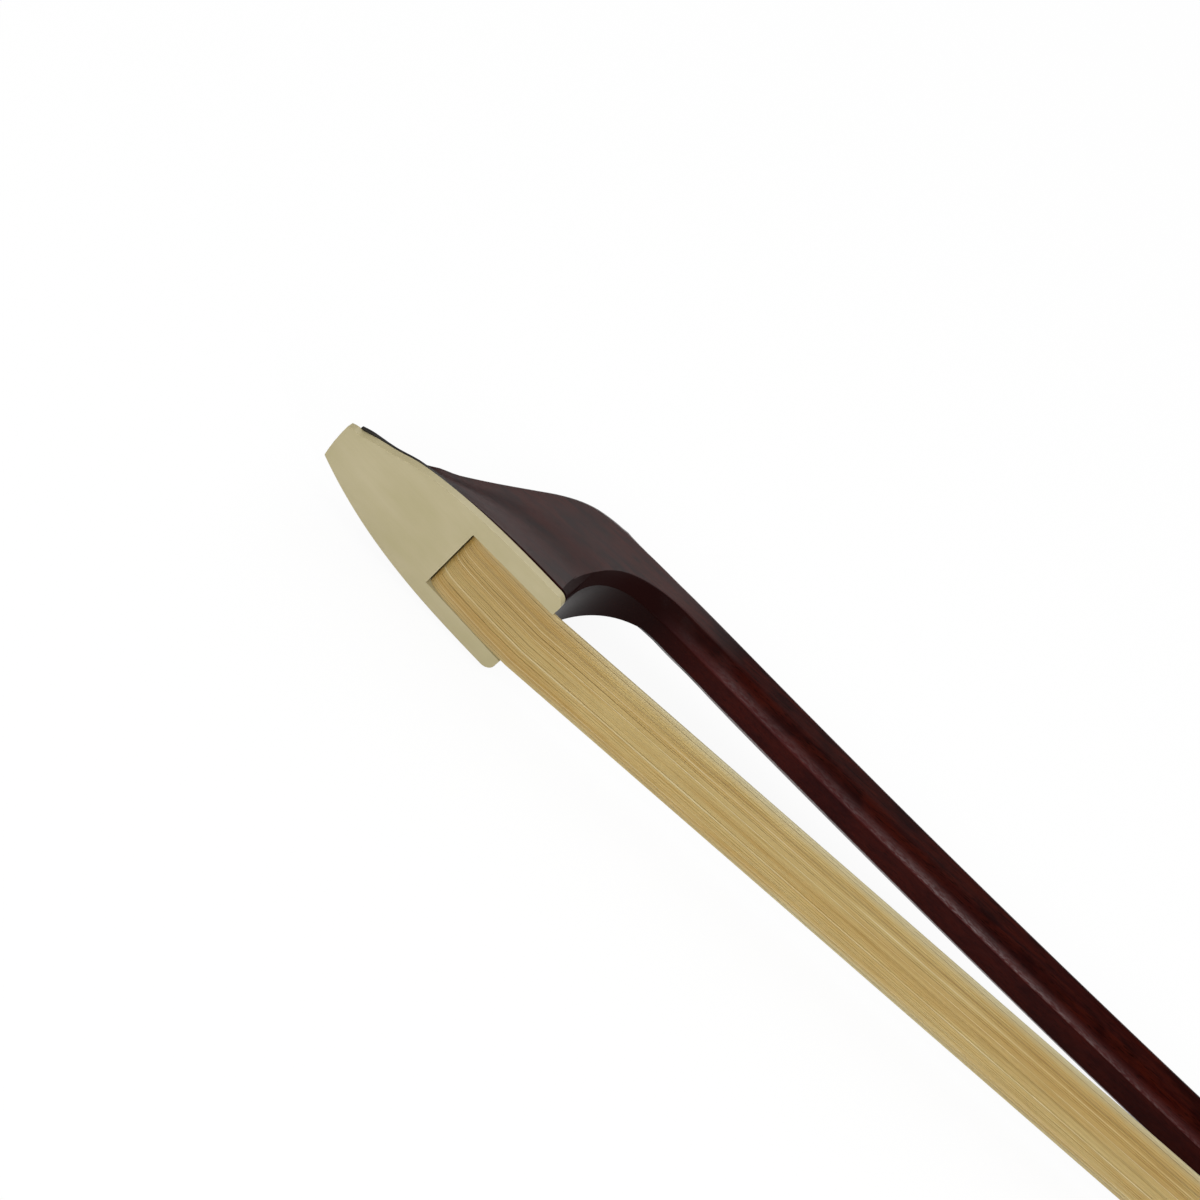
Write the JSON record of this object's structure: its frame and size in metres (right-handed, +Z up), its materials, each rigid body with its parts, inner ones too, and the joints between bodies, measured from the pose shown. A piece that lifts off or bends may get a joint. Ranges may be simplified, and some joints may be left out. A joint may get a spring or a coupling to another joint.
{
  "type": "double bass bow",
  "caption": "Double bass bow: curved stick with hatchet-shaped head, tip plate and flat hair, and a frog drawn back by a screw in the end button.",
  "frame": {"origin": "under the middle of the bow's box, on the plane that the bow lies on", "axes": "+X from the tip to the button, +Y from the hair to the stick, +Z up across the bow, which lies on the flat cheek of its frog"},
  "size_m": [0.6911, 0.0406, 0.022],
  "materials": {
    "stick_wood": "satin red-brown varnish over pernambuco",
    "bone": "polished yellowish bone or imitation ivory",
    "ebony": "polished black ebony",
    "maple": "plain cut maple",
    "thread": "waxed binding thread",
    "horsehair": "drawn strands of yellow-white horsehair",
    "leather": "black grained leather",
    "winding_strip": "flat metal strip",
    "nickel_silver": "polished nickel silver",
    "brass": "plain turned brass",
    "steel": "turned steel",
    "pearl": "polished mother-of-pearl"
  },
  "bodies": {
    "stick": {"stick": "stick_wood", "tip_plate": "bone", "tip_liner": "ebony", "tip_plug": "maple", "tip_hair_knot": "thread", "hair_ribbon": "horsehair", "thumb_leather": "leather", "winding": "winding_strip"},
    "frog": {"eye_ring_left": "nickel_silver", "eye_ring_right": "nickel_silver", "eyelet": "brass", "ferrule": "nickel_silver", "ferrule_wedge": "maple", "frog_block": "ebony", "frog_hair_knot": "thread", "frog_plug": "maple", "heel_plate": "nickel_silver", "heel_plate_pin_1": "nickel_silver", "heel_plate_pin_2": "nickel_silver", "pearl_eye_left": "pearl", "pearl_eye_right": "pearl", "pearl_slide": "pearl", "slide_base": "nickel_silver", "underslide": "nickel_silver", "underslide_screw_front": "steel", "underslide_screw_rear": "steel"},
    "screw": {"adjusting_screw": "steel", "button_core": "ebony", "button_front_ring": "nickel_silver", "button_rear_ring": "nickel_silver", "button_eye": "pearl"}
  },
  "joints": [
    {"name": "screw_turn", "type": "hinge", "parent": "stick", "child": "screw", "pos_m": [0.32274, 0.01167, 0.011], "axis": [-0.9976, -0.0698, 0], "range_deg": [0, 4500]},
    {"name": "frog_slide", "type": "slide", "parent": "stick", "child": "frog", "axis": [0.9976, 0.0698, 0], "range_m": [0, 0.01]}
  ],
  "couplings": [
    {"joint": "frog_slide", "follows": "screw_turn", "m_per_rad": 0.00012732}
  ]
}
